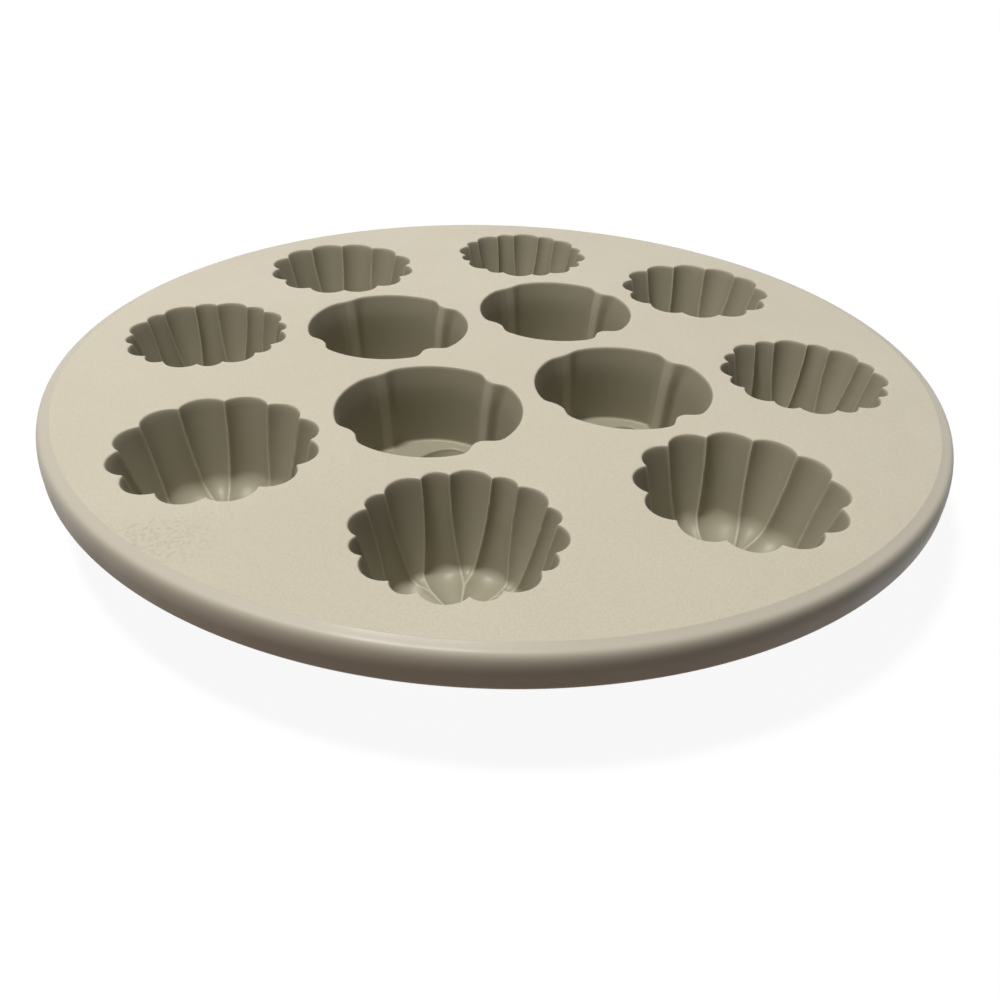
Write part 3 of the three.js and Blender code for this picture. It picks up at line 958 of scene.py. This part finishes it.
# Floor: its glow to the camera grows from near to far, and near the pan leaves room for the lit floor's share
FLOOR_HALF_WIDTH = 6.0
FLOOR_ROUGHNESS = 0.9
FLOOR_GLOW_NEAR = 0.25
FLOOR_GLOW_FAR = 0.6
FLOOR_LIT_SHARE = 0.8

# Lights
KEY_TINT = (1.0, 0.985, 0.955)
FILL_SPOT = (-0.25, -0.9, 0.12)
FILL_SIZE = 0.5
FILL_TINT = (1.0, 0.58, 0.30)


def add_camera(scene, focal_length):
    """Camera at the photo's viewing angle, for a square picture."""
    out = Vector((math.cos(CAMERA_BEARING), math.sin(CAMERA_BEARING), 0.0))
    flat = CAMERA_DISTANCE * math.cos(CAMERA_HEIGHT_ANGLE)
    eye = out * flat + Vector((0, 0, DECK_TOP + CAMERA_DISTANCE * math.sin(CAMERA_HEIGHT_ANGLE)))
    heading = CAMERA_BEARING + math.pi - CAMERA_YAW
    ahead = Vector(
        (
            math.cos(heading) * math.cos(CAMERA_PITCH),
            math.sin(heading) * math.cos(CAMERA_PITCH),
            math.sin(CAMERA_PITCH),
        )
    )
    right = ahead.cross(Vector((0, 0, 1))).normalized()
    up = right.cross(ahead)
    turned_right = right * math.cos(CAMERA_ROLL) + up * math.sin(CAMERA_ROLL)
    turned_up = up * math.cos(CAMERA_ROLL) - right * math.sin(CAMERA_ROLL)
    data = bpy.data.cameras.new("photo_camera")
    data.sensor_width = SENSOR_WIDTH
    data.sensor_fit = "HORIZONTAL"
    data.lens = focal_length
    data.clip_start = CLIP_START
    camera = bpy.data.objects.new("photo_camera", data)
    basis = Matrix((turned_right, turned_up, -ahead)).transposed().to_4x4()
    camera.matrix_world = Matrix.Translation(eye) @ basis
    scene.collection.objects.link(camera)
    scene.camera = camera


def add_area_light(scene, name, power, spot, size, tint):
    data = bpy.data.lights.new(name, "AREA")
    data.shape = "DISK"
    data.energy = power
    data.size = size
    data.color = tint
    light = bpy.data.objects.new(name, data)
    light.location = spot
    light.rotation_euler = (Vector((0, 0, DECK_TOP)) - Vector(spot)).to_track_quat("-Z", "Y").to_euler()
    scene.collection.objects.link(light)


def seen_directly(tree):
    """1 for rays from the camera, from a gloss or through glass, and 0 for light that lands on the pan."""
    path = tree.nodes.new("ShaderNodeLightPath")
    seen = math_node(tree, "ADD", path.outputs["Is Camera Ray"], path.outputs["Is Glossy Ray"])
    return math_node(tree, "ADD", seen, path.outputs["Is Transmission Ray"])


def floor_material(tint):
    """Floor that is white to the camera, most of all far from the pan, and keeps the pan's soft shadow."""
    material = bpy.data.materials.new("pale_floor")
    material.use_nodes = True
    tree = material.node_tree
    shader = tree.nodes["Principled BSDF"]
    shader.inputs["Base Color"].default_value = (*tint, 1.0)
    shader.inputs["Roughness"].default_value = FLOOR_ROUGHNESS
    shader.inputs["Specular IOR Level"].default_value = 0.0
    shader.inputs["Emission Color"].default_value = (1.0, 1.0, 1.0, 1.0)
    place = tree.nodes.new("ShaderNodeTexCoord")
    away = tree.nodes.new("ShaderNodeVectorMath")
    away.operation = "LENGTH"
    tree.links.new(place.outputs["Object"], away.inputs[0])
    glow = tree.nodes.new("ShaderNodeMapRange")
    glow.inputs["From Min"].default_value = FLOOR_GLOW_NEAR
    glow.inputs["From Max"].default_value = FLOOR_GLOW_FAR
    glow.inputs["To Min"].default_value = 1.0 - FLOOR_LIT_SHARE * tint[0]
    tree.links.new(away.outputs["Value"], glow.inputs["Value"])
    strength = math_node(tree, "MULTIPLY", glow.outputs["Result"], seen_directly(tree))
    tree.links.new(strength, shader.inputs["Emission Strength"])
    return material


def studio_world(sky):
    """Weak even light all round, in front of a white background."""
    world = bpy.data.worlds.new("studio")
    world.use_nodes = True
    tree = world.node_tree
    light = tree.nodes["Background"]
    light.inputs["Color"].default_value = (1.0, 1.0, 1.0, 1.0)
    extra = math_node(tree, "MULTIPLY", seen_directly(tree), 1.0 - sky)
    tree.links.new(math_node(tree, "ADD", extra, sky), light.inputs["Strength"])
    return world


class PAN_OT_stage(bpy.types.Operator):
    """Pale floor, soft light and the camera"""

    bl_idname = "pan.stage"
    bl_label = "Stage"

    def execute(self, context):
        scene = context.scene
        look = scene.pan_stage
        half = FLOOR_HALF_WIDTH
        corners = [(-half, -half, 0), (half, -half, 0), (half, half, 0), (-half, half, 0)]
        mesh = bpy.data.meshes.new("floor")
        mesh.from_pydata(corners, [], [(0, 1, 2, 3)])
        mesh.materials.append(floor_material(look.floor))
        floor = bpy.data.objects.new("floor", mesh)
        scene.collection.objects.link(floor)
        flat = look.key_distance * math.cos(look.key_height)
        key = (
            flat * math.cos(look.key_bearing),
            flat * math.sin(look.key_bearing),
            look.key_distance * math.sin(look.key_height),
        )
        add_area_light(scene, "key_light", look.key_power, key, look.key_size, KEY_TINT)
        add_area_light(scene, "fill_light", look.fill_power, FILL_SPOT, FILL_SIZE, FILL_TINT)
        scene.world = studio_world(look.sky)
        scene.view_settings.view_transform = "Standard"
        add_camera(scene, look.focal_length)
        return {"FINISHED"}


OPERATORS = (PAN_OT_deck, PAN_OT_rim, PAN_OT_fluted_cups, PAN_OT_petal_cups, PAN_OT_lobed_cups, PAN_OT_stage)


class PAN_PT_sidebar(bpy.types.Panel):
    """Panel that lists the pieces of the pan"""

    bl_idname = "PAN_PT_sidebar"
    bl_label = "Cupcake Pan"
    bl_space_type = "VIEW_3D"
    bl_region_type = "UI"
    bl_category = "Cupcake Pan"

    def draw(self, context):
        for operator in OPERATORS:
            self.layout.operator(operator.bl_idname)


def register():
    for name, group in SETTINGS.items():
        bpy.utils.register_class(group)
        setattr(bpy.types.Scene, name, PointerProperty(type=group))
    for operator in OPERATORS:
        bpy.utils.register_class(operator)
    bpy.utils.register_class(PAN_PT_sidebar)


def unregister():
    bpy.utils.unregister_class(PAN_PT_sidebar)
    for operator in reversed(OPERATORS):
        bpy.utils.unregister_class(operator)
    for name, group in reversed(SETTINGS.items()):
        delattr(bpy.types.Scene, name)
        bpy.utils.unregister_class(group)


def main():
    register()
    bpy.ops.pan.stage()
    bpy.ops.pan.deck()
    bpy.ops.pan.rim()
    bpy.ops.pan.fluted_cups()
    bpy.ops.pan.petal_cups()
    bpy.ops.pan.lobed_cups()


if __name__ == "__main__":
    main()
